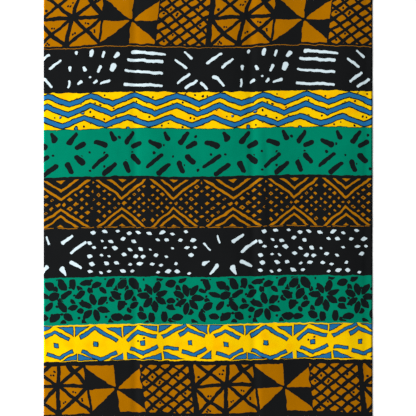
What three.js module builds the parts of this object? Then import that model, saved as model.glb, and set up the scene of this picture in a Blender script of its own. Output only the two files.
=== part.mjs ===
// A one-yard length of wax-printed cotton, spread out flat with its face up.
// Millimetres, +Z up. X runs along the length cut off the roll, so the two ends are raw cut
// edges. Y runs across the loom width, from selvedge to selvedge. The origin is the middle of
// the underside, which rests on the surface.
import * as THREE from "three";

// The cut.
const CUT_LENGTH = 914.4; // one yard off the roll
const LOOM_WIDTH = 1168.4; // 46 inches between the outer edges of the selvedges
const END_X = CUT_LENGTH / 2;
const END_Y = LOOM_WIDTH / 2;

// The wall: a rigid stand-in for a thin cloth, flat below.
const WALL = 1.0;
const LEAST_LIFT = 0.05; // the face never comes lower than this above the bare wall
const SELVEDGE_WIDTH = 6.0; // the close-woven, unprinted border along each long edge
const SELVEDGE_RISE = 0.25; // its doubled threads stand this much above the panel
const SELVEDGE_SLOPE = 1.0; // how far the step up to it is spread

// How the cloth bellies between its folds: the lift of the face at stations along x, eased
// from one to the next. Each lift swings by a share of itself along y, in waves of its own.
const STATIONS = [
  { name: "left cut end", x: -END_X, lift: 0.3, share: 0.3, wave: 700, shift: 0.4 },
  { name: "left crest", x: -335, lift: 2.0, share: 0.25, wave: 620, shift: 1.3 },
  { name: "left fold", x: -205, lift: 1.15, share: 0.1, wave: 900, shift: 2.0 },
  { name: "crest beside the left fold", x: -160, lift: 2.0, share: 0.2, wave: 540, shift: 0.2 },
  { name: "middle hollow", x: -100, lift: 0.7, share: 0.3, wave: 760, shift: 2.6 },
  { name: "middle crest", x: 60, lift: 2.4, share: 0.2, wave: 680, shift: 3.9 },
  { name: "right fold", x: 122, lift: 1.2, share: 0.1, wave: 900, shift: 5.1 },
  { name: "crest beside the right fold", x: 152, lift: 2.0, share: 0.2, wave: 590, shift: 1.0 },
  { name: "right hollow", x: 262, lift: 0.4, share: 0.4, wave: 810, shift: 4.4 },
  { name: "right crest", x: 415, lift: 2.4, share: 0.2, wave: 640, shift: 2.9 },
  { name: "right cut end", x: END_X, lift: 0.3, share: 0.3, wave: 700, shift: 5.6 },
];

// Pressed folds, left by the way the length was folded for sale. Each is a soft trough that
// runs across the loom width. x is where it crosses the middle, lean is how far it drifts in x
// from the middle to the top edge, and from and to are where it starts and ends along y.
const FOLDS = [
  { name: "left fold", x: -205, lean: -2, depth: 1.0, half: 8, from: -END_Y, to: END_Y, fade: 0 },
  { name: "right fold", x: 122, lean: -8, depth: 1.0, half: 9, from: -END_Y, to: END_Y, fade: 0 },
  { name: "second pressing", x: 166, lean: -24, depth: 0.8, half: 7, from: -390, to: 250, fade: 110 },
  { name: "outer fold", x: 441, lean: 2, depth: 0.8, half: 7, from: -500, to: END_Y, fade: 90 },
];

// The mesh: even rows and columns, with more columns over each fold.
const COLUMN_STEP = 34;
const ROW_STEP = 58;
const FOLD_OFFSETS = [-1, -0.5, 0, 0.5, 1]; // in half widths of the fold
const CLOSEST = 2.5; // no fold column comes nearer to a cut end than this

const COLOUR = 0xb27a14;

// 0 at t = 0 and below, 1 at t = 1 and above, smooth at both ends.
function ease(t) {
  const clamped = Math.min(1, Math.max(0, t));
  return clamped * clamped * (3 - 2 * clamped);
}

function liftAt(station, y) {
  const swing = Math.sin((2 * Math.PI * y) / station.wave + station.shift);
  return station.lift * (1 + station.share * swing);
}

// The cloth's belly: from each station's lift to the next one's.
function belly(x, y) {
  let lift = liftAt(STATIONS[0], y);
  for (let i = 1; i < STATIONS.length; i += 1) {
    const [before, after] = [STATIONS[i - 1], STATIONS[i]];
    const share = ease((x - before.x) / (after.x - before.x));
    lift += (liftAt(after, y) - liftAt(before, y)) * share;
  }
  return lift;
}

function foldCentre(fold, y) {
  return fold.x + fold.lean * (y / END_Y);
}

// A fold dies away towards an end that stops short of the cloth's edge.
function foldReach(fold, y) {
  const fadeIn = fold.from <= -END_Y ? 1 : ease((y - fold.from) / fold.fade);
  const fadeOut = fold.to >= END_Y ? 1 : ease((fold.to - y) / fold.fade);
  return fadeIn * fadeOut;
}

function foldDepth(x, y) {
  const depths = FOLDS.map((fold) => {
    const away = Math.abs(x - foldCentre(fold, y)) / fold.half;
    return fold.depth * foldReach(fold, y) * (1 - ease(away));
  });
  return Math.max(...depths);
}

function selvedgeRise(y) {
  const inner = END_Y - SELVEDGE_WIDTH - SELVEDGE_SLOPE / 2;
  return SELVEDGE_RISE * ease((Math.abs(y) - inner) / SELVEDGE_SLOPE);
}

// Height of the printed face above the surface that the cloth lies on.
function faceHeight(x, y) {
  const lift = Math.max(LEAST_LIFT, belly(x, y) - foldDepth(x, y));
  return WALL + lift + selvedgeRise(y);
}

// Sorted places from -half to half: all of extra, with even ones wherever there is room.
function places(half, spacing, extra) {
  const count = Math.round((2 * half) / spacing);
  const even = Array.from({ length: count + 1 }, (_, i) => -half + (2 * half * i) / count);
  const inside = extra.filter((value) => Math.abs(value) < half - CLOSEST);
  const kept = [-half, half, ...inside];
  for (const value of even) {
    if (kept.every((other) => Math.abs(other - value) > spacing / 3)) kept.push(value);
  }
  return kept.sort((a, b) => a - b);
}

// How far a column drifts along x: as its fold does, and in proportion between two folds.
function leanAt(x, marks) {
  const next = Math.max(1, marks.findIndex((mark) => mark.x >= x));
  const [before, after] = [marks[next - 1], marks[next]];
  const share = (x - before.x) / (after.x - before.x);
  return before.lean + (after.lean - before.lean) * share;
}

// A column is a place along x, with its lean.
function columnTable() {
  const onFolds = FOLDS.flatMap((fold) =>
    FOLD_OFFSETS.map((offset) => ({ x: fold.x + offset * fold.half, lean: fold.lean })),
  );
  onFolds.sort((a, b) => a.x - b.x);
  const marks = [{ x: -END_X, lean: 0 }, ...onFolds, { x: END_X, lean: 0 }];
  const xs = places(END_X, COLUMN_STEP, onFolds.map((column) => column.x));
  return xs.map((x) => ({ x, lean: leanAt(x, marks) }));
}

function rowTable() {
  const inner = END_Y - SELVEDGE_WIDTH;
  const borders = [inner - SELVEDGE_SLOPE / 2, inner + SELVEDGE_SLOPE / 2];
  return places(END_Y, ROW_STEP, borders.flatMap((y) => [-y, y]));
}

// The cloth: a gridded face on top, one flat rectangle below, and four plain edges.
function clothGeometry() {
  const columns = columnTable();
  const rows = rowTable();
  const wide = columns.length;
  const high = rows.length;
  const points = [];
  const triangles = [];

  for (const y of rows) {
    for (const column of columns) {
      const x = column.x + column.lean * (y / END_Y);
      points.push(x, y, faceHeight(x, y));
    }
  }
  for (let row = 0; row < high - 1; row += 1) {
    for (let column = 0; column < wide - 1; column += 1) {
      const a = row * wide + column;
      const b = a + 1;
      const c = a + wide + 1;
      const d = a + wide;
      triangles.push(a, b, c, a, c, d);
    }
  }

  // Corners of the underside, anticlockwise seen from above.
  const under = wide * high;
  for (const [sideX, sideY] of [[-1, -1], [1, -1], [1, 1], [-1, 1]]) {
    points.push(sideX * END_X, sideY * END_Y, 0);
  }
  triangles.push(under, under + 2, under + 1, under, under + 3, under + 2);

  // Each edge fans from one lower corner along the top line, and closes with the other.
  const last = wide * high - 1;
  const front = Array.from({ length: wide }, (_, i) => i);
  const right = Array.from({ length: high }, (_, i) => i * wide + wide - 1);
  const back = Array.from({ length: wide }, (_, i) => last - i);
  const left = Array.from({ length: high }, (_, i) => (high - 1 - i) * wide);
  [front, right, back, left].forEach((line, side) => {
    const start = under + side;
    const end = under + ((side + 1) % 4);
    const half = Math.floor(line.length / 2);
    for (let i = 0; i < half; i += 1) triangles.push(start, line[i + 1], line[i]);
    for (let i = half; i < line.length - 1; i += 1) triangles.push(end, line[i + 1], line[i]);
    triangles.push(start, end, line[half]);
  });

  const geometry = new THREE.BufferGeometry();
  geometry.setAttribute("position", new THREE.Float32BufferAttribute(points, 3));
  geometry.setIndex(triangles);
  geometry.computeVertexNormals();
  return geometry;
}

function buildCloth() {
  const cotton = new THREE.MeshStandardMaterial({ color: COLOUR, roughness: 0.75, metalness: 0 });
  const cloth = new THREE.Mesh(clothGeometry(), cotton);
  cloth.name = "cloth_length";
  return cloth;
}

const fabric = new THREE.Group();
fabric.add(buildCloth());

export default fabric;
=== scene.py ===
# One yard of wax-printed cotton, cut off the roll and spread flat with its face up.
# Metres, +Z up. X runs along the cut length and Y across the loom width. Every table of the
# print is in millimetres, in the same directions.
import math

import bpy
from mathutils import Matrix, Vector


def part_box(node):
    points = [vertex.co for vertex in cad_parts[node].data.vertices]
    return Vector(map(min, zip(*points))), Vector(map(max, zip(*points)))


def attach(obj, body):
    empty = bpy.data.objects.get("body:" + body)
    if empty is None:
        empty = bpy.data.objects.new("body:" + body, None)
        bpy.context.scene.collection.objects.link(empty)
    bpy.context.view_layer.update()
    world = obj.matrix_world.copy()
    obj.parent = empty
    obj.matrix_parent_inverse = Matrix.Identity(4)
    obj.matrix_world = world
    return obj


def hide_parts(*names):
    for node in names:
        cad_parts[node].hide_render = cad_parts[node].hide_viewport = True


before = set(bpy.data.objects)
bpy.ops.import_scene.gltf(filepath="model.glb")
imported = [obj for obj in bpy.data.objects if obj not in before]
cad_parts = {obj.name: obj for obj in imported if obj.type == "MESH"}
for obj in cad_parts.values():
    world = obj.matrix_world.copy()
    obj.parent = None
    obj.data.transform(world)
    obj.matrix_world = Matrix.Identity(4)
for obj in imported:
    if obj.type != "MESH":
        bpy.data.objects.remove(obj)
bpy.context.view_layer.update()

bl_info = {
    "name": "Wax Print Fabric",
    "version": (1, 0, 0),
    "blender": (4, 5, 0),
    "location": "View3D > Sidebar > Wax Print",
    "description": "One yard of wax-printed cotton, spread flat",
    "category": "Add Mesh",
}

CLOTH_LOW, CLOTH_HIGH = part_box("cloth_length")
MM = 0.001
TURN = 2 * math.pi

# The cut edges and the selvedges' outer edges, in mm from the middle.
EDGE_X = round(CLOTH_HIGH[0] / MM, 1)
EDGE_Y = round(CLOTH_HIGH[1] / MM, 1)

# How the cloth bellies between its folds: (x, lift, share, wave, shift) in mm. Each lift swings
# by a share of itself along y, in waves of its own.
STATIONS = (
    (-EDGE_X, 0.3, 0.3, 700, 0.4),
    (-335, 2.0, 0.25, 620, 1.3),
    (-205, 1.15, 0.1, 900, 2.0),
    (-160, 2.0, 0.2, 540, 0.2),
    (-100, 0.7, 0.3, 760, 2.6),
    (60, 2.4, 0.2, 680, 3.9),
    (122, 1.2, 0.1, 900, 5.1),
    (152, 2.0, 0.2, 590, 1.0),
    (262, 0.3, 0.4, 810, 4.4),
    (375, 2.5, 0.2, 640, 2.9),
    (EDGE_X, 0.3, 0.3, 700, 5.6),
)
# Pressed folds: (x, lean, depth, half width, from, to, fade) in mm.
FOLDS = (
    (-203, -2, 1.1, 16, -EDGE_Y, EDGE_Y, 0),
    (125, -8, 1.1, 18, -EDGE_Y, EDGE_Y, 0),
    (170, -24, 0.8, 15, -390, 250, 110),
    (442, 2, 0.9, 13, -500, EDGE_Y, 90),
)
LEAST_LIFT = 0.05
SELVEDGE_RISE = 0.25

# The print repeats along the cloth at every turn of the printing roller.
REPEAT = 472.5
PRINT_EDGE = EDGE_Y - 4.0  # the cloth is bare beyond this

# Strokes are (x, y, half width) at one tip and at the other, about the middle of the motif.
BURST = (
    (-24, 62, 5.0, -9, 35, 8.2), (43, 62, 5.0, 19, 27, 7.8), (66, 32, 7.8, 37, 17, 6.0),
    (37, -3, 8.0, 61, -29, 7.0), (16, -20, 7.4, 30, -54, 6.2), (-46, -59, 7.0, -6, -27, 6.2),
    (-76, -39, 5.2, -29, -2, 5.8), (-70, 35, 6.0, -31, 20, 8.0),
)
SPARK = (
    (-26, 54, 2.8, -16, 29, 3.4), (49, 56, 4.0, 15, 32, 4.8), (85, 38, 4.2, 41, 6, 4.6),
    (38, -18, 6.4, 73, -36, 3.6), (14, -31, 7.0, 28, -58, 2.4), (-20, -27, 5.2, -47, -56, 3.0),
    (-62, 32, 3.6, -43, 10, 2.4), (-48, -17, 2.6, -69, -27, 5.8),
)
SUN = (
    (-63, 31, 3.3, -44, 16, 4.3), (-46, 19, 4.3, -30, 4, 3.5), (-38, 53, 3.3, -14, 33, 4.3),
    (69, 48, 3.7, 22, 20, 4.3), (97, 33, 3.5, 64, 8, 4.3), (-21, -7, 3.9, -38, -19, 4.1),
    (-34, -15, 4.1, -57, -36, 3.5), (-1, -26, 4.1, -37, -50, 3.5), (6, -32, 4.1, 27, -55, 3.5),
    (39, -15, 4.1, 58, -24, 4.1), (53, -20, 4.1, 73, -45, 3.5),
)
DABS = (
    (-48, 40, 4.4, -45, 52, 4.8), (-10, 33, 4.6, -5, 54, 6.4), (24, 29, 3.6, 31, 48, 4.4),
    (56, 28, 3.8, 69, 43, 5.2), (-65, -7, 3.2, -66, 11, 5.4), (-28, 9, 4.6, -21, -7, 5.6),
    (12, -14, 4.2, 19, 9, 5.2), (47, -9, 6.0, 57, 13, 7.2), (-71, -54, 3.0, -67, -30, 3.8),
    (-44, -41, 3.8, -30, -33, 4.8), (-12, -27, 3.2, -8, -23, 3.2), (-2, -41, 3.2, 9, -32, 3.6),
    (16, -43, 3.4, 45, -34, 4.2),
)
DASHES = (
    (-41, 45, 5.2, 56, 38, 3.8), (-51, 23, 4.2, 49, 19, 4.4), (-59, -7, 3.6, 45, -14, 4.2),
    (-62, -46, 4.2, 46, -48, 4.0),
)
# The crossed squares of the patchwork, about the middle where eight lines meet.
CROSSED = (
    (-97, -7, 5.3, 6, 0, 5.7), (-6, 0, 5.7, 92, -2, 5.3), (0, 6, 5.7, -11, -84, 5.9),
    (0, -6, 5.5, 16, 80, 4.9), (4, 4, 4.7, -52, -49, 5.1), (-48, -45, 5.1, -94, -88, 4.9),
    (-4, 4, 4.7, 43, -38, 5.9), (39, -34, 5.9, 89, -80, 4.9), (4, -4, 5.3, -43, 32, 5.1),
    (-39, 29, 5.1, -86, 64, 5.5), (-4, -4, 4.9, 52, 38, 5.3), (48, 34, 5.3, 90, 62, 5.3),
    (-96, -2, 4.9, -52, -49, 5.5), (-56, -45, 5.5, -4, -82, 5.3), (90, 4, 4.9, 43, -38, 5.3),
    (48, -34, 5.3, -17, -82, 4.9), (-96, -12, 4.9, -43, 32, 5.1), (-47, 29, 5.1, 12, 76, 5.1),
    (88, -8, 6.7, 52, 38, 6.9), (55, 34, 6.9, 20, 80, 6.5), (-93, 90, 6.9, -91, -10, 6.5),
    (-91, 0, 5.7, -89, -90, 4.9),
)
# Small dots are (x, y, half width), about the same place.
KNOTS = (
    (0, 0, 9.5), (86, -2, 11.0), (-10, -76, 11.0), (-90, -7, 10.0), (86, -76, 9.0), (43, -38, 7.5),
    (-52, -49, 7.0), (-43, 32, 7.0),
)
SEEDS = (
    (-75, 20, 4.4), (-14, 30, 2.9), (-7, 29, 2.9), (-3, 39, 3.1), (-54, -31, 2.8), (-47, -31, 2.8),
    (7, -48, 2.9), (13, -45, 3.0), (40, -17, 2.8), (47, -18, 2.8), (63, -37, 3.0), (64, -42, 3.1),
    (-60, -70, 3.3), (-64, -76, 3.0), (-55, -74, 3.3),
    (268, 20, 3.6), (287, 8, 3.3), (285, 3, 3.3), (341, 25, 3.5), (355, -23, 3.5),
    (281, -52, 3.4), (258, -68, 3.4), (250, 7, 3.4),
)
# Bars are (x, y) at one end and at the other, with square ends.
CHEVRONS = (
    (-219, 8, -193, 31), (-211, -16, -176, -31), (-196, 30, -141, 17), (-180, -31, -139, -9),
    (-124, 19, -60, 50), (-119, -12, -81, -15), (-77, 24, -52, 40), (-70, -22, -30, -32),
    (-56, 40, -8, 21), (-36, -31, -5, -15), (22, 20, 53, 35), (27, -27, 64, -38), (50, 35, 89, 15),
    (60, -38, 97, -19), (122, 20, 164, 44), (125, -20, 178, -46), (160, 43, 222, 6),
    (175, -45, 219, -26),
)
# Right-angled triangles: (x, y) of the square corner, then how far they reach each way.
CORNERS = (
    (-229, 46, 30, -26), (-222, -44, 33, 18), (-140, 47, -42, -14), (-132, 49, 29, -18),
    (-129, -44, -48, 16), (-120, -42, 47, 18), (-1, 50, -41, -21), (8, 50, 32, -21),
    (10, -40, -25, 18), (100, 47, -37, -22), (107, -44, -32, 17), (108, 46, 33, -22),
    (113, -44, 44, 16), (235, 42, -36, -24), (239, -45, -32, 18),
)
CHEVRON_SQUARES = ((-179, -1), (-46, 2), (53, -2), (163, -1))
CHEVRON_SPECKS = ((-191, 5, 3.1), (-175, 12, 3.1))
# The leaves' band: its middle, how far leaves reach from there, and the rows they grow in.
LEAVES_MIDDLE = -256.4
LEAVES_HALF = 61.5
LEAF_ROW = 30.5
STEEP = 9.0  # makes a rule about a whole leaf count for more than the leaf's own edge
FAR_OFF = 1000.0
# Where the leaves gather into flowers: (x, y), then how many petals, and their turn.
FLOWERS = ((-150, -246, 7, 0.1), (-55, -250, 7, 0.45), (160, -274, 6, 0.8))


def linear(text):
    """An sRGB hex value as linear red, green, blue and a full alpha."""
    parts = [int(text[i:i + 2], 16) / 255 for i in (1, 3, 5)]
    bent = [p / 12.92 if p <= 0.04045 else ((p + 0.055) / 1.055) ** 2.4 for p in parts]
    return (*bent, 1.0)


def add_node(tree, kind, settings=None, inputs=None):
    """Adds one node with its settings, and a value or a link on each input that is named."""
    node = tree.nodes.new(kind)
    for name, value in (settings or {}).items():
        setattr(node, name, value)
    for name, value in (inputs or {}).items():
        value = value.socket if isinstance(value, Wire) else value
        if isinstance(value, bpy.types.NodeSocket):
            tree.links.new(value, node.inputs[name])
        else:
            node.inputs[name].default_value = value
    return node


class Wire:
    """A number on its way through a tree, which sums and comparisons carry on."""

    def __init__(self, tree, socket):
        self.tree = tree
        self.socket = socket

    def through(self, operation, *others):
        inputs = dict(enumerate((self, *others)))
        node = add_node(self.tree, "ShaderNodeMath", {"operation": operation}, inputs)
        return Wire(self.tree, node.outputs[0])

    def __add__(self, other):
        return self.through("ADD", other)

    def __sub__(self, other):
        return self.through("SUBTRACT", other)

    def __rsub__(self, other):
        return self.times_plus(-1, other)

    def __mul__(self, other):
        return self.through("MULTIPLY", other)

    def __truediv__(self, other):
        return self.through("DIVIDE", other)

    def __abs__(self):
        return self.through("ABSOLUTE")

    def __lt__(self, other):
        return self.through("LESS_THAN", other)

    def __gt__(self, other):
        return self.through("GREATER_THAN", other)

    def __and__(self, other):
        return self.through("MULTIPLY", other)

    def __or__(self, other):
        return self.greater(other)

    def times_plus(self, factor, more):
        return self.through("MULTIPLY_ADD", factor, more)

    def lesser(self, other):
        return self.through("MINIMUM", other)

    def greater(self, other):
        return self.through("MAXIMUM", other)

    def wrapped(self, low, high):
        return self.through("WRAP", high, low)


# ---------------------------------------------------------------- sizes and colours


def a_length(label, description, default):
    """A property that holds a length in metres."""
    return bpy.props.FloatProperty(
        name=label, description=description, unit="LENGTH", default=default)


def a_colour(label, description, default):
    """A property that holds a colour, whose default is a hex value."""
    return bpy.props.FloatVectorProperty(
        name=label, description=description, subtype="COLOR", size=4, default=linear(default))


class WAXPRINT_PG_cloth(bpy.types.PropertyGroup):
    cut_length: a_length(
        "Cut length", "Length cut off the roll", CLOTH_HIGH[0] - CLOTH_LOW[0])
    loom_width: a_length(
        "Loom width", "Between the outer edges of the selvedges", CLOTH_HIGH[1] - CLOTH_LOW[1])
    shell: a_length(
        "Cloth thickness", "Drawn a little stouter than the real cotton", 0.45 * MM)
    crumple: a_length(
        "Crumple", "Height of the soft crumples left by handling", 0.5 * MM)
    selvedge: a_length(
        "Selvedge width", "Unprinted border along each long edge", 6.0 * MM)
    mesh_step: a_length("Mesh step", "Spacing of the cloth's mesh", 5.0 * MM)


class WAXPRINT_PG_inks(bpy.types.PropertyGroup):
    green: a_colour("Green", "Leaf green ground", "#00775C")
    yellow: a_colour("Yellow", "Sun yellow ground", "#E6BA00")
    deep_yellow: a_colour("Deep yellow", "Where the yellow dye took more", "#E6A200")
    ochre: a_colour("Ochre", "Ochre of the patchwork", "#9D6200")
    earth: a_colour("Earth", "Ochre of the diamonds and the fine lines", "#A26806")
    blue: a_colour("Blue", "Indigo blue", "#1E6296")
    white: a_colour("White", "Cloth kept white by the wax", "#C4D5DB")
    black: a_colour("Black", "Black of the dark grounds and outlines", "#151617")
    green_black: a_colour("Black on green", "Black printed over the green", "#13191A")
    cotton: a_colour("Bare cotton", "Unprinted selvedge", "#D9D6CB")


class WAXPRINT_PG_ends(bpy.types.PropertyGroup):
    spacing: a_length("Spacing", "Between two loose ends", 3.4 * MM)
    reach: a_length("Reach", "How far an average end stands out", 0.9 * MM)
    thickness: a_length("Thickness", "Of one warp yarn", 0.24 * MM)


class WAXPRINT_PG_stage(bpy.types.PropertyGroup):
    view_height: a_length("View", "Height that the camera takes in", 1.1562)
    lens: bpy.props.FloatProperty(
        name="Lens", description="Focal length in mm", default=85.0)
    key: bpy.props.FloatProperty(
        name="Key light", description="Window-like light from the left", unit="POWER",
        default=1108.0)
    fill: bpy.props.FloatProperty(
        name="Fill", description="Even light from the whole room", default=0.42)


class WAXPRINT_PG_all(bpy.types.PropertyGroup):
    cloth: bpy.props.PointerProperty(type=WAXPRINT_PG_cloth)
    inks: bpy.props.PointerProperty(type=WAXPRINT_PG_inks)
    ends: bpy.props.PointerProperty(type=WAXPRINT_PG_ends)
    stage: bpy.props.PointerProperty(type=WAXPRINT_PG_stage)


# ---------------------------------------------------------------- shape of the cloth


def new_tree(name, kind, inputs, output):
    """A node group with its input node. Its sockets are given as (name, kind)."""
    tree = bpy.data.node_groups.new(name, kind)
    for label, what in inputs:
        tree.interface.new_socket(label, in_out="INPUT", socket_type="NodeSocket" + what)
    label, what = output
    tree.interface.new_socket(label, in_out="OUTPUT", socket_type="NodeSocket" + what)
    return tree, add_node(tree, "NodeGroupInput")


def smooth_step(value, start, end, low=0.0, high=1.0):
    """The value eased from low at start to high at end."""
    inputs = {"Value": value, "From Min": start, "From Max": end, "To Min": low, "To Max": high}
    settings = {"interpolation_type": "SMOOTHSTEP"}
    node = add_node(value.tree, "ShaderNodeMapRange", settings, inputs)
    return Wire(value.tree, node.outputs[0])


def station_lift(y, station):
    """How far a station lifts the cloth at this y."""
    x, lift, share, wave, shift = station
    swing = y.times_plus(TURN / wave, shift).through("SINE")
    return swing.times_plus(lift * share, lift)


def fold_depth(x, y, fold):
    """How deep a fold's trough is at a place."""
    middle, lean, depth, half, start, end, fade = fold
    away = abs(x - y.times_plus(lean / EDGE_Y, middle))
    deep = smooth_step(away, 0.0, half, depth, 0.0)
    if start > -EDGE_Y:
        deep = deep * smooth_step(y, start, start + fade)
    if end < EDGE_Y:
        deep = deep * smooth_step(y, end - fade, end, 1.0, 0.0)
    return deep


def rise_tree():
    """Gives how far the cloth is lifted off the floor at a place, both in metres."""
    tree, source = new_tree(
        "cloth_rise", "GeometryNodeTree",
        [("Place", "Vector"), ("Crumple", "Float"), ("Seed", "Float")],
        ("Rise", "Float"))
    parts = add_node(tree, "ShaderNodeSeparateXYZ", {}, {0: source.outputs["Place"]})
    x = Wire(tree, parts.outputs[0]) / MM
    y = Wire(tree, parts.outputs[1]) / MM
    lifts = [station_lift(y, station) for station in STATIONS]
    belly = lifts[0]
    for i in range(1, len(STATIONS)):
        share = smooth_step(x, STATIONS[i - 1][0], STATIONS[i][0])
        belly = (lifts[i] - lifts[i - 1]).times_plus(share, belly)
    deepest = fold_depth(x, y, FOLDS[0])
    for fold in FOLDS[1:]:
        deepest = deepest.greater(fold_depth(x, y, fold))
    # Crumples: long soft ones across the cloth, flattened where the cloth lies low.
    where = add_node(
        tree, "ShaderNodeVectorMath", {"operation": "MULTIPLY"},
        {0: source.outputs["Place"], 1: (17.0, 9.0, 0.0)})
    lifted = add_node(tree, "ShaderNodeCombineXYZ", {}, {2: source.outputs["Seed"]})
    where = add_node(
        tree, "ShaderNodeVectorMath", {"operation": "ADD"},
        {0: where.outputs[0], 1: lifted.outputs[0]})
    noise = add_node(
        tree, "ShaderNodeTexNoise", {"noise_dimensions": "3D"},
        {"Vector": where.outputs[0], "Scale": 1.0, "Detail": 3.0, "Roughness": 0.55})
    swell = Wire(tree, noise.outputs[0]) - 0.5
    crumple = swell * Wire(tree, source.outputs["Crumple"]) * 2.0
    rise = (belly - deepest).greater(LEAST_LIFT) * MM + crumple
    rise = rise.greater(LEAST_LIFT * MM)
    add_node(tree, "NodeGroupOutput", {}, {"Rise": rise})
    return tree


def flat_sheet(tree, inputs):
    """A closed flat sheet: a grid, and the same grid raised by the cloth's thickness."""
    grid = add_node(
        tree, "GeometryNodeMeshGrid", {},
        {"Size X": inputs["Cut Length"], "Size Y": inputs["Loom Width"],
         "Vertices X": inputs["Columns"], "Vertices Y": inputs["Rows"]})
    up = add_node(tree, "ShaderNodeCombineXYZ", {}, {2: 1.0})
    face = add_node(
        tree, "GeometryNodeExtrudeMesh", {"mode": "FACES"},
        {"Mesh": grid.outputs["Mesh"], "Offset": up.outputs[0],
         "Offset Scale": inputs["Thickness"], "Individual": False})
    back = add_node(tree, "GeometryNodeFlipFaces", {}, {"Mesh": grid.outputs["Mesh"]})
    both = add_node(tree, "GeometryNodeJoinGeometry")
    tree.links.new(face.outputs["Mesh"], both.inputs[0])
    tree.links.new(back.outputs["Mesh"], both.inputs[0])
    closed = add_node(
        tree, "GeometryNodeMergeByDistance", {},
        {"Geometry": both.outputs[0], "Distance": 0.02 * MM})
    return closed.outputs[0]


def finished(tree, geometry, material):
    """Ends a tree with plain geometry in one material."""
    real = add_node(tree, "GeometryNodeRealizeInstances", {}, {0: geometry})
    done = add_node(
        tree, "GeometryNodeSetMaterial", {},
        {"Geometry": real.outputs[0], "Material": material})
    add_node(tree, "NodeGroupOutput", {}, {"Geometry": done.outputs[0]})
    return tree


def lift_here(tree, inputs, rise):
    """How far the cloth is lifted where each point is."""
    place = add_node(tree, "GeometryNodeInputPosition")
    lift = add_node(
        tree, "GeometryNodeGroup", {"node_tree": rise},
        {"Place": place.outputs[0], "Crumple": inputs["Crumple"], "Seed": inputs["Seed"]})
    return Wire(tree, lift.outputs[0])


def raised(tree, geometry, height):
    """The geometry with each point moved up."""
    offset = add_node(tree, "ShaderNodeCombineXYZ", {}, {2: height})
    moved = add_node(
        tree, "GeometryNodeSetPosition", {},
        {"Geometry": geometry, "Offset": offset.outputs[0]})
    return moved.outputs[0]


def cloth_tree(rise):
    """The sheet: flat, mapped, and then lifted by the rise."""
    tree, source = new_tree(
        "cloth_sheet", "GeometryNodeTree",
        [("Geometry", "Geometry"), ("Cut Length", "Float"), ("Loom Width", "Float"),
         ("Thickness", "Float"), ("Selvedge", "Float"), ("Crumple", "Float"),
         ("Seed", "Float"), ("Columns", "Int"), ("Rows", "Int"), ("Material", "Material")],
        ("Geometry", "Geometry"))
    inputs = source.outputs
    sheet = flat_sheet(tree, inputs)
    place = add_node(tree, "GeometryNodeInputPosition")
    parts = add_node(tree, "ShaderNodeSeparateXYZ", {}, {0: place.outputs[0]})
    share_x = Wire(tree, parts.outputs[0]) / Wire(tree, inputs["Cut Length"]) + 0.5
    share_y = Wire(tree, parts.outputs[1]) / Wire(tree, inputs["Loom Width"]) + 0.5
    flat = add_node(tree, "ShaderNodeCombineXYZ", {}, {0: share_x, 1: share_y})
    mapped = add_node(
        tree, "GeometryNodeStoreNamedAttribute", {"data_type": "FLOAT2", "domain": "CORNER"},
        {"Geometry": sheet, "Name": "OFBake", "Value": flat.outputs[0]})
    # The selvedge's doubled threads stand a little above the face.
    from_edge = Wire(tree, inputs["Loom Width"]) * 0.5 - abs(Wire(tree, parts.outputs[1]))
    border = from_edge < Wire(tree, inputs["Selvedge"])
    on_top = Wire(tree, parts.outputs[2]) > Wire(tree, inputs["Thickness"]) * 0.5
    lift = lift_here(tree, inputs, rise)
    height = (border & on_top).times_plus(SELVEDGE_RISE * MM, lift)
    moved = raised(tree, mapped.outputs[0], height)
    smooth = add_node(tree, "GeometryNodeSetShadeSmooth", {}, {0: moved})
    return finished(tree, smooth.outputs[0], inputs["Material"])


def one_yarn(tree, inputs):
    """A short bent yarn along x, rooted a little way inside the cloth."""
    reach = Wire(tree, inputs["Reach"])
    root = add_node(tree, "ShaderNodeCombineXYZ", {}, {0: reach * -0.5})
    bend = add_node(tree, "ShaderNodeCombineXYZ", {}, {0: reach * 0.6, 1: reach * 0.16})
    tip = add_node(tree, "ShaderNodeCombineXYZ", {}, {0: reach})
    curve = add_node(
        tree, "GeometryNodeCurveQuadraticBezier", {},
        {"Resolution": 4, "Start": root.outputs[0], "Middle": bend.outputs[0],
         "End": tip.outputs[0]})
    radius = Wire(tree, inputs["Thickness"]) * 0.5
    ring = add_node(
        tree, "GeometryNodeCurvePrimitiveCircle", {}, {"Resolution": 5, "Radius": radius})
    yarn = add_node(
        tree, "GeometryNodeCurveToMesh", {},
        {"Curve": curve.outputs[0], "Profile Curve": ring.outputs[0], "Fill Caps": True})
    return yarn.outputs[0]


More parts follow.
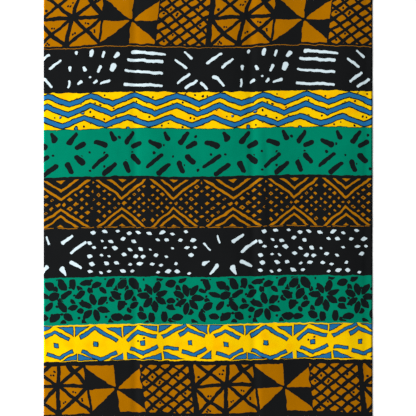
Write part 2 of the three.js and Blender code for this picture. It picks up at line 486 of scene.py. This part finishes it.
def yarns_along(tree, inputs, rise, yarn, side):
    """Yarns along the right cut edge (side 1) or the left (-1), turned and sized by chance."""
    edge_x = Wire(tree, inputs["Cut Length"]) * (0.5 * side)
    half_y = Wire(tree, inputs["Loom Width"]) * 0.496
    low = add_node(tree, "ShaderNodeCombineXYZ", {}, {0: edge_x, 1: half_y * -1.0})
    high = add_node(tree, "ShaderNodeCombineXYZ", {}, {0: edge_x, 1: half_y})
    line = add_node(
        tree, "GeometryNodeMeshLine", {"mode": "END_POINTS", "count_mode": "TOTAL"},
        {"Count": inputs["Count"], "Start Location": low.outputs[0],
         "Offset": high.outputs[0]})
    height = lift_here(tree, inputs, rise) + Wire(tree, inputs["Cloth"]) * 0.5
    points = raised(tree, line.outputs[0], height)
    outwards = 0.0 if side > 0 else math.pi
    spin = add_node(
        tree, "FunctionNodeRandomValue", {"data_type": "FLOAT_VECTOR"},
        {0: (-0.3, -0.02, outwards - 0.45), 1: (0.3, 0.05, outwards + 0.45),
         "Seed": 11 + side})
    size = add_node(
        tree, "FunctionNodeRandomValue", {"data_type": "FLOAT"},
        {2: 0.45, 3: 1.6, "Seed": 23 + side})
    placed = add_node(
        tree, "GeometryNodeInstanceOnPoints", {},
        {"Points": points, "Instance": yarn, "Rotation": spin.outputs[0],
         "Scale": size.outputs[1]})
    return placed.outputs[0]


def ends_tree(rise):
    """Short loose yarn ends along the two raw cut edges."""
    tree, source = new_tree(
        "yarn_ends", "GeometryNodeTree",
        [("Geometry", "Geometry"), ("Cut Length", "Float"), ("Loom Width", "Float"),
         ("Count", "Int"), ("Reach", "Float"), ("Thickness", "Float"), ("Cloth", "Float"),
         ("Crumple", "Float"), ("Seed", "Float"), ("Material", "Material")],
        ("Geometry", "Geometry"))
    inputs = source.outputs
    yarn = one_yarn(tree, inputs)
    both = add_node(tree, "GeometryNodeJoinGeometry")
    for side in (1, -1):
        tree.links.new(yarns_along(tree, inputs, rise, yarn, side), both.inputs[0])
    return finished(tree, both.outputs[0], inputs["Material"])


def grown(name, tree, values):
    """A plain mesh object made by a node tree, whose inputs are set by name."""
    host = bpy.data.objects.new(name + "_host", bpy.data.meshes.new(name + "_host"))
    bpy.context.scene.collection.objects.link(host)
    modifier = host.modifiers.new(name, "NODES")
    modifier.node_group = tree
    for item in tree.interface.items_tree:
        if item.in_out == "INPUT" and item.name in values:
            modifier[item.identifier] = values[item.name]
    graph = bpy.context.evaluated_depsgraph_get()
    mesh = bpy.data.meshes.new_from_object(host.evaluated_get(graph), depsgraph=graph)
    mesh.name = name
    host.modifiers.remove(modifier)
    bpy.data.objects.remove(host)
    if not mesh.polygons:
        raise RuntimeError(name + " came out empty")
    piece = bpy.data.objects.new(name, mesh)
    bpy.context.scene.collection.objects.link(piece)
    return piece


# ---------------------------------------------------------------- the print


def stroke_tree():
    """The distance to a brush stroke's edge, or the nearest one so far."""
    tree, source = new_tree(
        "brush_stroke", "ShaderNodeTree",
        [("Place", "Vector"), ("Start", "Vector"), ("Run", "Vector"), ("Share", "Vector"),
         ("Half Width", "Float"), ("Swell", "Float"), ("Nearest", "Float")],
        ("Nearest", "Float"))
    inputs = source.outputs
    away = add_node(
        tree, "ShaderNodeVectorMath", {"operation": "SUBTRACT"},
        {0: inputs["Place"], 1: inputs["Start"]})
    along = add_node(
        tree, "ShaderNodeVectorMath", {"operation": "DOT_PRODUCT"},
        {0: away.outputs[0], 1: inputs["Share"]})
    along = Wire(tree, add_node(
        tree, "ShaderNodeClamp", {}, {"Value": along.outputs["Value"]}).outputs[0])
    foot = add_node(
        tree, "ShaderNodeVectorMath", {"operation": "SCALE"},
        {0: inputs["Run"], "Scale": along})
    gap = add_node(
        tree, "ShaderNodeVectorMath", {"operation": "DISTANCE"},
        {0: away.outputs[0], 1: foot.outputs[0]})
    half = along.times_plus(inputs["Swell"], inputs["Half Width"])
    edge = Wire(tree, gap.outputs["Value"]) - half
    add_node(
        tree, "NodeGroupOutput", {}, {"Nearest": edge.lesser(inputs["Nearest"])})
    return tree


def nearer(nearest, gap):
    """The lesser of two distances, or the second where there is no first yet."""
    return nearest.lesser(gap) if nearest else gap


def about(x, middle, every=REPEAT):
    """The offset from the nearest of many middles, which stand so far apart."""
    return (x - middle).wrapped(-every / 2, every / 2)


def far(x, y):
    """How long an offset is."""
    return (x * x + y * y).through("SQRT")


def lots(code):
    """Three numbers from 0 to 1 that a code draws."""
    noise = add_node(
        code.tree, "ShaderNodeTexWhiteNoise", {"noise_dimensions": "1D"}, {"W": code})
    parts = add_node(
        code.tree, "ShaderNodeSeparateColor", {}, {0: noise.outputs["Color"]})
    return [Wire(code.tree, output) for output in parts.outputs[:3]]


def way_between(x0, y0, x1, y1):
    """How long a line is, and its direction."""
    length = math.hypot(x1 - x0, y1 - y0)
    return length, ((x1 - x0) / length, (y1 - y0) / length)


def draw_strokes(x, y, chart, stroke):
    """The distance to the nearest stroke of a chart, at a place about its middle."""
    tree = x.tree
    place = add_node(tree, "ShaderNodeCombineXYZ", {}, {0: x, 1: y}).outputs[0]
    nearest = FAR_OFF
    for x0, y0, half0, x1, y1, half1 in chart:
        length, way = way_between(x0, y0, x1, y1)
        run = max(length - half0 - half1, 0.5)
        start = (x0 + way[0] * half0, y0 + way[1] * half0, 0.0)
        inputs = {
            "Place": place, "Start": start, "Run": (way[0] * run, way[1] * run, 0.0),
            "Share": (way[0] / run, way[1] / run, 0.0),
            "Half Width": half0, "Swell": half1 - half0, "Nearest": nearest,
        }
        node = add_node(tree, "ShaderNodeGroup", {"node_tree": stroke}, inputs)
        nearest = Wire(tree, node.outputs[0])
    return nearest


def draw_bars(x, y, chart, half):
    """The distance to the nearest square-ended bar of a chart."""
    tree = x.tree
    place = add_node(tree, "ShaderNodeCombineXYZ", {}, {0: x, 1: y}).outputs[0]
    nearest = None
    for x0, y0, x1, y1 in chart:
        length, way = way_between(x0, y0, x1, y1)
        middle = ((x0 + x1) / 2, (y0 + y1) / 2, 0.0)
        away = add_node(
            tree, "ShaderNodeVectorMath", {"operation": "SUBTRACT"}, {0: place, 1: middle})
        reach = []
        for axis in ((way[0], way[1], 0.0), (-way[1], way[0], 0.0)):
            node = add_node(
                tree, "ShaderNodeVectorMath", {"operation": "DOT_PRODUCT"},
                {0: away.outputs[0], 1: axis})
            reach.append(abs(Wire(tree, node.outputs["Value"])))
        gap = (reach[0] - (length / 2 - half)).greater(reach[1])
        nearest = nearer(nearest, gap)
    return nearest - half


def draw_corners(x, y, chart):
    """The distance to the nearest right-angled triangle of a chart."""
    nearest = None
    for corner_x, corner_y, wide, high in chart:
        across = x.times_plus(1 / wide, -corner_x / wide)
        along = y.times_plus(1 / high, -corner_y / high)
        slope = abs(wide * high) / math.hypot(wide, high)
        gap = (across + along).times_plus(slope, -slope)
        gap = gap.greater(across * -abs(wide))
        gap = gap.greater(along * -abs(high))
        nearest = nearer(nearest, gap)
    return nearest


def draw_dots(x, y, chart):
    """The distance to the nearest dot of a chart."""
    tree = x.tree
    place = add_node(tree, "ShaderNodeCombineXYZ", {}, {0: x, 1: y}).outputs[0]
    nearest = None
    for dot_x, dot_y, half in chart:
        node = add_node(
            tree, "ShaderNodeVectorMath", {"operation": "DISTANCE"},
            {0: place, 1: (dot_x, dot_y, 0.0)})
        gap = Wire(tree, node.outputs["Value"]) - half
        nearest = nearer(nearest, gap)
    return nearest


def inked(ground, ink, mask):
    """The ground with an ink laid over it where the mask is 1."""
    settings = {"data_type": "RGBA", "clamp_factor": True}
    mix = add_node(mask.tree, "ShaderNodeMix", settings, {0: mask, 6: ground, 7: ink})
    return mix.outputs[2]


def scatter(x, y, cells, cell_y, seed, play):
    """One jittered point in each cell of a staggered grid, with so many cells to a repeat.

    Gives the offset from that point in mm, and three random numbers from 0 to 1.
    """
    cell_x = REPEAT / cells
    v = y * (1.0 / cell_y)
    row = v.through("FLOOR")
    u = x.times_plus(1.0 / cell_x, row * 0.5)
    column = u.through("FLOOR")
    code = row.times_plus(17.7, column.wrapped(0.0, cells) * 1.37) + seed
    jitter = lots(code)
    chances = lots(code + 0.43)
    off_u = jitter[0].times_plus(-play, u - column)
    off_v = jitter[1].times_plus(-play, v - row)
    off_x = (off_u - (0.5 - play / 2)) * cell_x
    off_y = (off_v - (0.5 - play / 2)) * cell_y
    return off_x, off_y, chances


def patchwork(x, y, inks, stroke):
    """Ochre squares crossed from corner to corner, a pinwheel, and a netted panel."""
    # The upper and the lower patchwork: their middles, leans, and the places of their stars.
    low = y < 0.0
    middle, lean, star = [
        low.times_plus(lower - upper, upper)
        for upper, lower in ((533.3, -489.8), (0.118, -0.118), (100.6, 51.3))]
    t = y - middle
    s = (x - t * lean - star).wrapped(-93.0, REPEAT - 93.0)
    # Crossed squares, with seeds here and in the net.
    lines = draw_strokes(s, t, CROSSED, stroke)
    lines = lines.lesser(draw_dots(s, t, KNOTS))
    seeds = draw_dots(s, t, SEEDS) < 0.0
    squares_black = (lines < 0.0) | (s > 79.0)
    # Pinwheel of eight triangles about its middle.
    a = s - 163.0
    b = t + 12.0
    wheel_black = a * b * (abs(a) * 0.78 - abs(b)) < 30.0
    wheel_black = wheel_black | (a > 71.5) | (a < -83.0)
    # Net of leaning lines, heavier one way than the other.
    i = (s * 0.02476 + t * 0.02981 + 0.27).through("FRACT") - 0.5
    j = (s * 0.02712 - t * 0.03537 - 0.06).through("FRACT") - 0.5
    net_black = (abs(i) > 0.362) | (abs(j) > 0.295) | (abs(s - 304.0) > 68.0)
    # One of the three panels at a place.
    in_wheel = s > 86.0
    in_net = s > 238.0
    black = squares_black + (wheel_black - squares_black) * in_wheel
    black = black + (net_black - wheel_black) * in_net
    wave = (x * (TURN / REPEAT) + 1.4).through("SINE") * 2.0
    margin = (t + wave < -78.0) | ((t > 54.0) & low)
    colour = inked(inks.ochre, inks.black, black | margin | seeds)
    return inked(colour, inks.earth, abs(y + wave - 448.0) < 0.75)


def dots_and_dashes(x, y, inks, stroke):
    """White dabs, long dashes and a loose sunburst on black."""
    nearest = None
    for middle_x, middle_y, chart in (
            (159.4, 389.1, DABS), (302.3, 389.1, DASHES), (-27.5, 383.5, SUN)):
        gap = draw_strokes(about(x, middle_x), y - middle_y, chart, stroke)
        nearest = nearer(nearest, gap)
    return inked(inks.black, inks.white, nearest < -0.4)


def golden(x, y, inks):
    """The yellow ground, which took the dye deeper in soft clouds."""
    place = add_node(x.tree, "ShaderNodeCombineXYZ", {}, {0: x, 1: y}).outputs[0]
    cloud = add_node(
        x.tree, "ShaderNodeTexNoise", {"noise_dimensions": "2D"},
        {"Vector": place, "Scale": 1 / 46.0, "Detail": 1.0})
    deep = (Wire(x.tree, cloud.outputs[0]) - 0.5) * 2.6
    return inked(inks.yellow, inks.deep_yellow, deep)


def zigzags(x, y, inks, stroke):
    """Three blue zigzags with a dark outline on yellow, among specks."""
    ground = golden(x, y, inks)
    nearest = None
    for peak_x, peak_y, drop in ((34.0, 314.6, 23.9), (31.0, 286.8, 25.0), (15.0, 253.2, 22.5)):
        fall = (x - peak_x).through("MULTIPLY", 4 / REPEAT).through("PINGPONG", 0.5)
        line = fall.times_plus(-2.0 * drop, peak_y)
        gap = abs(y - line).times_plus(0.92, -5.3)
        nearest = nearer(nearest, gap)
    off_x, off_y, chances = scatter(x, y, 22, 20.0, 0.1, 0.8)
    size = chances[1].times_plus(1.2, 2.3)
    off = far(off_x, off_y)
    # A few specks are larger, with a blue heart.
    special = chances[2] > 0.9
    rim = special.times_plus(2.6, size)
    free = (chances[0] > 0.36) & (nearest > 3.6)
    specks = (off < rim) & free
    colour = inked(ground, inks.black, (nearest < 3.2) | specks | (y < 222.8))
    hearts = (off < 3.2) & special & free
    return inked(colour, inks.blue, (nearest < 0.0) | hearts)


def bursts(x, y, inks, stroke):
    """Black strokes flying outwards on green, three bursts to a repeat."""
    third = REPEAT / 3
    # The bursts were set out by eye, so they wander a little from thirds.
    wander = (x * (TURN / REPEAT) - 2.26).through("COSINE")
    local = about(wander.times_plus(-6.2, x - 66.0), 0.0, third)
    nearest = draw_strokes(local, y - 151.5, BURST, stroke)
    off_x, off_y, chances = scatter(x, y, 17, 34.0, 0.2, 0.8)
    size = chances[1].times_plus(2.0, 3.0)
    free = (chances[0] > 0.58) & (nearest > 3.0) & (abs(y - off_y - 152.0) < 56.0)
    specks = (far(off_x, off_y) < size) & free
    return inked(inks.green, inks.green_black, (nearest < 0.3) | specks)


def diamonds(x, y, inks, stroke):
    """Nested chevrons in ochre on black, with diamonds of small dots between them."""
    third = REPEAT / 3
    # The chevrons were set out by eye, so their tips wander a little from thirds.
    wander = (x * (TURN / REPEAT) - 2.68).through("COSINE")
    even = wander.times_plus(-9.7, x - 70.8)
    s = abs(about(even, 0.0, third))
    v = abs(y - 14.0)
    d = v - s * 0.77
    inner = (y > 14.0).times_plus(3.4, 33.6)
    stripes = (abs(d - 13.4) < 3.7) | (abs(d - inner) < 3.5) | (d > 57.0)
    q = third / 2 - s
    i = q / 28.6 + v / 23.4
    j = q / 28.6 - v / 23.4
    row = i.through("FLOOR")
    column = j.through("FLOOR")
    block = (even / (third / 2)).through("FLOOR").wrapped(0.0, 6.0)
    code = block.times_plus(31.0, row.times_plus(7.0, column))
    chances = lots((y > 14.0).times_plus(3.7, code))
    wide = chances[0].times_plus(0.13, 0.13)
    tall = chances[1].times_plus(0.16, 0.13)
    across = abs(i.through("FRACT") - 0.5)
    along = abs(j.through("FRACT") - 0.5)
    dots = (across < wide) & (along < tall) & (d < 3.0)
    hollow = (chances[2] > 0.86) & (across < 0.1) & (along < 0.1)
    # Most of the dots on the line between two blocks were left out.
    joint = (row + column < -0.5) & (chances[0] > 0.3)
    dots = dots & (hollow < 0.5) & (joint < 0.5)
    inside = abs(y - 15.2) < 65.0
    dashes = (x * 0.11).through("SINE") + (x * 0.29).through("SINE")
    edge = (abs(y + 52.6) < 0.8) & (dashes > -0.9)
    return inked(inks.black, inks.earth, ((stripes | dots) & inside) | edge)


def pebbles(x, y, inks, stroke):
    """White pebbles and a loose spark of strokes on black."""
    # This roller was cut a touch finer than the rest.
    x = x * 1.0085
    spark = draw_strokes(about(x, 50.4), y + 127.8, SPARK, stroke)
    off_x, off_y, chances = scatter(x, y + 57.0, 15, 21.8, 0.3, 0.42)
    # Each stone is a leaning kite with its corners worn off.
    lean = chances[0] - 0.35
    across = abs(off_x - off_y * lean) * 0.8
    along = abs(off_y + off_x * lean) * 1.22
    stone = ((across + along) * 0.8).greater(across).greater(along)
    size = chances[1].times_plus(3.2, 4.0)
    field = (abs(about(x - off_x, 286.0)) < 151.0) & (abs(y - off_y + 121.0) < 61.0)
    field = field & (chances[2] < 0.95)
    return inked(inks.black, inks.white, (spark < -0.5) | ((stone < size) & field))


def leaf(along, across, length, width):
    """Below zero inside a blunt leaf."""
    taper = abs(along / length).through("POWER", 2.6)
    return abs(across) - (1.0 - taper) * width


def from_flower(x, y, flower):
    """The offset from a flower's middle, and how far that is."""
    off_x = about(x, flower[0])
    off_y = y - flower[1]
    return off_x, off_y, far(off_x, off_y)


def flower_leaves(x, y):
    """The edge of the nearest petal of a flower, and the distance to the nearest flower."""
    edge = FAR_OFF
    middle = FAR_OFF
    for flower in FLOWERS:
        off_x, off_y, off = from_flower(x, y, flower)
        petals, turn = flower[2:]
        petal = off_y.through("ARCTAN2", off_x) * (petals / TURN) + turn
        across = (petal.through("FRACT") - 0.5) * off * (TURN / petals)
        # Petals stand at uneven distances from the middle.
        reach = (petal.through("FLOOR") * 2.4).through("SINE") * 3.0 + 25.5
        edge = leaf(off - reach, across, 18.0, 9.0).lesser(edge)
        middle = off.lesser(middle)
    return edge, middle


def loose_leaf(x, y, shift_x, shift_y, seed, long, wide):
    """The edge of a loose leaf, one to a cell, each turned its own way, and its middle."""
    off_x, off_y, chances = scatter(x + shift_x, y + shift_y, 14, LEAF_ROW, seed, 0.24)
    angle = chances[0] * TURN
    cosine = angle.through("COSINE")
    sine = angle.through("SINE")
    along = off_x * cosine + off_y * sine
    across = off_y * cosine - off_x * sine
    length = chances[1].times_plus(long * 0.35, long * 0.85)
    width = chances[2].times_plus(wide * 0.45, wide * 0.75)
    # At least half of a leaf shows at the edge of the band.
    outside = (abs(y - off_y - LEAVES_MIDDLE) - LEAVES_HALF) * STEEP
    edge = leaf(along, across, length, width).greater(outside)
    return edge, x - off_x, y - off_y


def large_leaves(x, y):
    """The edge of the nearest large leaf, in a flower or loose."""
    petals, middle = flower_leaves(x, y)
    loose, own_x, own_y = loose_leaf(x, y, 0.0, 10.4 * LEAF_ROW, 0.4, 17.4, 9.6)
    loose = loose.greater(45.0 - middle)
    # A loose leaf is drawn where its middle is well clear of every flower.
    for flower in FLOWERS:
        off = from_flower(own_x, own_y, flower)[2]
        loose = loose.greater((50.0 - off) * STEEP)
    return loose.lesser(petals)


def leaves(x, y, inks, stroke):
    """Black leaves and flowers, close together on green."""
    large = large_leaves(x, y)
    small, small_x, small_y = loose_leaf(x, y, 17.0, 10.9 * LEAF_ROW, 0.5, 11.4, 6.8)
    # A small leaf is drawn where there is room for it between the large ones.
    crowded = (5.0 - large_leaves(small_x, small_y)) * STEEP
    small = small.greater(crowded).greater(2.4 - large)
    off_x, off_y, chances = scatter(x, y, 19, 26.0, 0.6, 0.8)
    speck = (far(off_x, off_y) - 3.4).greater((0.45 - chances[0]) * 99.0)
    nearest = large.lesser(small).lesser(speck)
    black = (nearest < 0.3) & (abs(y - LEAVES_MIDDLE) < LEAVES_HALF)
    return inked(inks.green, inks.green_black, black)


def chevrons(x, y, inks, stroke):
    """Blue chevrons over and under small squares, with corner triangles, on yellow."""
    ground = golden(x, y, inks)
    u = (x + 2.4).wrapped(238.5 - REPEAT, 238.5)
    v = y + 375.2
    nearest = draw_bars(u, v, CHEVRONS, 3.5)
    nearest = nearest.lesser(draw_corners(u, v, CORNERS))
    for middle_x, middle_y in CHEVRON_SQUARES:
        square = abs(u - middle_x).greater(abs(v - middle_y)) - 4.8
        nearest = nearest.lesser(square)
    specks = draw_dots(u, v, CHEVRON_SPECKS) < 0.0
    colour = inked(ground, inks.black, (nearest < 2.2) | specks)
    return inked(colour, inks.blue, nearest < 0.0)


# Bands from the top, each with the heights of its upper and lower edge. Patchwork is the rest.
BANDS = (
    (dots_and_dashes, 446.0, 323.2),
    (zigzags, 323.2, 221.0),
    (bursts, 221.0, 89.2),
    (diamonds, 89.2, -54.0),
    (pebbles, -54.0, -190.6),
    (leaves, -190.6, -322.5),
    (chevrons, -322.5, -423.0),
)


def band_tree(draw, inks, stroke):
    """A group that gives the colour printed at a place, named for what is drawn."""
    tree, source = new_tree(
        draw.__name__, "ShaderNodeTree", [("Place", "Vector")],
        ("Colour", "Color"))
    parts = add_node(tree, "ShaderNodeSeparateXYZ", {}, {0: source.outputs["Place"]})
    x = Wire(tree, parts.outputs[0])
    y = Wire(tree, parts.outputs[1])
    add_node(tree, "NodeGroupOutput", {}, {"Colour": draw(x, y, inks, stroke)})
    return tree


def hand_drawn(tree, place):
    """Moves a place by a little, so that lines waver as a block cutter's do."""
    parts = add_node(tree, "ShaderNodeSeparateXYZ", {}, {0: place})
    y = Wire(tree, parts.outputs[1])
    # Finishing drew the cloth out less towards one selvedge, so the print is tighter there.
    low = y.times_plus(-1 / 400.0, -0.05).greater(0.0)
    x = Wire(tree, parts.outputs[0]) * (low * low).times_plus(0.016, 0.9867)
    place = add_node(tree, "ShaderNodeCombineXYZ", {}, {0: x, 1: y}).outputs[0]
    angle = x * (TURN / REPEAT)
    around = REPEAT / TURN
    ring = add_node(
        tree, "ShaderNodeCombineXYZ", {},
        {0: angle.through("COSINE") * around, 1: angle.through("SINE") * around, 2: y})
    moved = place
    for scale, reach in ((1 / 28.0, 9.0), (1 / 8.0, 2.6)):
        noise = add_node(
            tree, "ShaderNodeTexNoise", {"noise_dimensions": "3D"},
            {"Vector": ring.outputs[0], "Scale": scale, "Detail": 1.0})
        push = add_node(
            tree, "ShaderNodeVectorMath", {"operation": "SUBTRACT"},
            {0: noise.outputs["Color"], 1: (0.5, 0.5, 0.5)})
        moved = add_node(
            tree, "ShaderNodeVectorMath", {"operation": "MULTIPLY_ADD"},
            {0: push.outputs[0], 1: (reach, reach, 0.0), 2: moved}).outputs[0]
    # The cloth was printed a touch askew, and stretched in slow waves by its finishing.
    wave = angle.through("ADD", 1.4).through("SINE")
    level = wave * 1.7 - x * 0.008
    lift = add_node(tree, "ShaderNodeCombineXYZ", {}, {1: level})
    levelled = add_node(
        tree, "ShaderNodeVectorMath", {"operation": "ADD"}, {0: moved, 1: lift.outputs[0]})
    return levelled.outputs[0]


def new_material(name):
    """An empty node material and its tree."""
    material = bpy.data.materials.new(name)
    material.use_nodes = True
    material.node_tree.nodes.clear()
    return material, material.node_tree


def wax_printed_cotton(inks):
    """Plain-weave cotton, resist-dyed and printed in six inks, then calendered.

    The eye sees flat, soft-edged colour with a dry, nearly matt face, and threads only from
    close by.
    """
    material, tree = new_material("wax_printed_cotton")
    coords = add_node(tree, "ShaderNodeTexCoord")
    flat = add_node(
        tree, "ShaderNodeVectorMath", {"operation": "MULTIPLY"},
        {0: coords.outputs["Object"], 1: (1000.0, 1000.0, 0.0)})
    place = hand_drawn(tree, flat.outputs[0])
    parts = add_node(tree, "ShaderNodeSeparateXYZ", {}, {0: place})
    y = Wire(tree, parts.outputs[1])
    stroke = stroke_tree()
    group = band_tree(patchwork, inks, stroke)
    colour = add_node(
        tree, "ShaderNodeGroup", {"node_tree": group}, {"Place": place}).outputs[0]
    for draw, top, bottom in BANDS:
        group = band_tree(draw, inks, stroke)
        node = add_node(tree, "ShaderNodeGroup", {"node_tree": group}, {"Place": place})
        inside = (y < top) & (y > bottom)
        colour = inked(colour, node.outputs[0], inside)
    true_parts = add_node(tree, "ShaderNodeSeparateXYZ", {}, {0: flat.outputs[0]})
    border = abs(Wire(tree, true_parts.outputs[1])) > PRINT_EDGE
    colour = inked(colour, inks.cotton, border)
    # Dye takes a little unevenly over a hand's breadth.
    cloud = add_node(
        tree, "ShaderNodeTexNoise", {"noise_dimensions": "2D"},
        {"Vector": flat.outputs[0], "Scale": 1 / 60.0, "Detail": 4.0})
    shade = Wire(tree, cloud.outputs[0]).times_plus(0.16, 0.92)
    colour = add_node(
        tree, "ShaderNodeVectorMath", {"operation": "SCALE"},
        {0: colour, "Scale": shade}).outputs[0]
    # Real threads lie 0.3 mm apart. They are drawn 1.2 mm apart, so that they show at all.
    weave_x = (Wire(tree, true_parts.outputs[0]) * (TURN / 1.2)).through("SINE")
    weave_y = (Wire(tree, true_parts.outputs[1]) * (TURN / 1.2)).through("SINE")
    bump = add_node(
        tree, "ShaderNodeBump", {},
        {"Strength": 0.25, "Distance": 0.1 * MM, "Height": weave_x * weave_y})
    shader = add_node(
        tree, "ShaderNodeBsdfPrincipled", {},
        {"Base Color": colour, "Roughness": 0.9, "Specular IOR Level": 0.004,
         "Sheen Weight": 0.01, "Sheen Roughness": 0.4, "Normal": bump.outputs[0]})
    add_node(tree, "ShaderNodeOutputMaterial", {}, {"Surface": shader.outputs[0]})
    return material


def cut_printed_yarn():
    """Loose yarn of the same cloth, which the dye had gone through before it was cut.

    The eye sees a thin fringe in the colours of the bands beside it.
    """
    material = bpy.data.materials["wax_printed_cotton"].copy()
    material.name = "cut_printed_yarn"
    return material


def studio_board():
    """Matt white painted board, which takes a soft shadow and shows no grain."""
    material, tree = new_material("studio_board")
    shader = add_node(
        tree, "ShaderNodeBsdfPrincipled", {},
        {"Base Color": linear("#FBFBFB"), "Roughness": 0.9, "Specular IOR Level": 0.1})
    add_node(tree, "ShaderNodeOutputMaterial", {}, {"Surface": shader.outputs[0]})
    return material


# ---------------------------------------------------------------- operators


FLOOR_HALF = 5.0
SENSOR = 36.0  # mm
MIDDLE_HEIGHT = 2.0 * MM  # of the cloth's face, where the view is measured
WINDOW_SIZE = (1.2, 2.4)
WINDOW_PLACE = (-6.0, 0.59, 1.95)
WINDOW_TILT = -math.radians(72.0)  # low, so that it rakes across the folds
CRUMPLE_SEED = 4.0


class WAXPRINT_OT_stage(bpy.types.Operator):
    """Sets up the floor, the camera and the light"""
    bl_idname = "waxprint.stage"
    bl_label = "Stage"

    def execute(self, context):
        sizes = context.scene.waxprint.stage
        self.add_floor(context)
        self.add_camera(context, sizes)
        self.add_light(context, sizes)
        return {"FINISHED"}

    def add_floor(self, context):
        mesh = bpy.data.meshes.new("studio_floor")
        corners = [
            (x * FLOOR_HALF, y * FLOOR_HALF, 0.0)
            for x, y in ((-1, -1), (1, -1), (1, 1), (-1, 1))]
        mesh.from_pydata(corners, [], [(0, 1, 2, 3)])
        mesh.materials.append(studio_board())
        floor = bpy.data.objects.new("studio_floor", mesh)
        context.scene.collection.objects.link(floor)

    def add_camera(self, context, sizes):
        data = bpy.data.cameras.new("camera")
        data.type = "PERSP"
        data.lens = sizes.lens
        data.sensor_width = SENSOR
        data.clip_start = 0.05
        data.clip_end = 50.0
        camera = bpy.data.objects.new("camera", data)
        height = sizes.view_height * sizes.lens / SENSOR
        camera.location = (0.0, 0.0, height + MIDDLE_HEIGHT)
        context.scene.collection.objects.link(camera)
        context.scene.camera = camera

    def add_light(self, context, sizes):
        data = bpy.data.lights.new("window_light", "AREA")
        data.shape = "RECTANGLE"
        data.size, data.size_y = WINDOW_SIZE
        data.energy = sizes.key
        lamp = bpy.data.objects.new("window_light", data)
        lamp.location = WINDOW_PLACE
        lamp.rotation_euler = (0.0, WINDOW_TILT, 0.0)
        context.scene.collection.objects.link(lamp)
        world = bpy.data.worlds.new("studio")
        world.use_nodes = True
        room = world.node_tree.nodes["Background"]
        room.inputs["Color"].default_value = (1.0, 1.0, 1.0, 1.0)
        room.inputs["Strength"].default_value = sizes.fill
        context.scene.world = world
        context.scene.view_settings.view_transform = "Standard"


class WAXPRINT_OT_cloth(bpy.types.Operator):
    """Makes the printed cotton sheet"""
    bl_idname = "waxprint.cloth"
    bl_label = "Printed Cloth"

    def execute(self, context):
        settings = context.scene.waxprint
        sizes = settings.cloth
        tree = cloth_tree(rise_tree())
        piece = grown("printed_cloth", tree, {
            "Cut Length": sizes.cut_length, "Loom Width": sizes.loom_width,
            "Thickness": sizes.shell, "Selvedge": sizes.selvedge,
            "Crumple": sizes.crumple, "Seed": CRUMPLE_SEED,
            "Columns": round(sizes.cut_length / sizes.mesh_step) + 1,
            "Rows": round(sizes.loom_width / sizes.mesh_step) + 1,
            "Material": wax_printed_cotton(settings.inks),
        })
        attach(piece, "root")
        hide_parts("cloth_length")
        return {"FINISHED"}


class WAXPRINT_OT_yarn_ends(bpy.types.Operator):
    bl_idname = "waxprint.yarn_ends"
    bl_label = "Loose Yarn Ends"

    def execute(self, context):
        settings = context.scene.waxprint
        sizes = settings.cloth
        ends = settings.ends
        rise = bpy.data.node_groups["cloth_rise"]
        piece = grown("yarn_ends", ends_tree(rise), {
            "Cut Length": sizes.cut_length, "Loom Width": sizes.loom_width,
            "Count": round(sizes.loom_width / ends.spacing),
            "Reach": ends.reach, "Thickness": ends.thickness, "Cloth": sizes.shell,
            "Crumple": sizes.crumple, "Seed": CRUMPLE_SEED,
            "Material": cut_printed_yarn(),
        })
        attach(piece, "root")
        return {"FINISHED"}


class WAXPRINT_PT_panel(bpy.types.Panel):
    """Lists the steps that make the fabric"""
    bl_idname = "WAXPRINT_PT_panel"
    bl_label = "Wax Print Fabric"
    bl_space_type = "VIEW_3D"
    bl_region_type = "UI"
    bl_category = "Wax Print"

    def draw(self, context):
        settings = context.scene.waxprint
        for title, group, operator in (
            ("Stage", settings.stage, "waxprint.stage"),
            ("Cloth", settings.cloth, "waxprint.cloth"),
            ("Yarn ends", settings.ends, "waxprint.yarn_ends"),
            ("Inks", settings.inks, None),
        ):
            box = self.layout.box()
            box.label(text=title)
            for name in group.bl_rna.properties.keys():
                if name not in ("rna_type", "name"):
                    box.prop(group, name)
            if operator:
                box.operator(operator)


CLASSES = (
    WAXPRINT_PG_cloth, WAXPRINT_PG_inks, WAXPRINT_PG_ends, WAXPRINT_PG_stage,
    WAXPRINT_PG_all, WAXPRINT_OT_stage, WAXPRINT_OT_cloth, WAXPRINT_OT_yarn_ends,
    WAXPRINT_PT_panel,
)


def register():
    for item in CLASSES:
        bpy.utils.register_class(item)
    bpy.types.Scene.waxprint = bpy.props.PointerProperty(type=WAXPRINT_PG_all)


def unregister():
    del bpy.types.Scene.waxprint
    for item in reversed(CLASSES):
        bpy.utils.unregister_class(item)


def main():
    register()
    bpy.ops.waxprint.stage()
    bpy.ops.waxprint.cloth()
    bpy.ops.waxprint.yarn_ends()


if __name__ == "__main__":
    main()
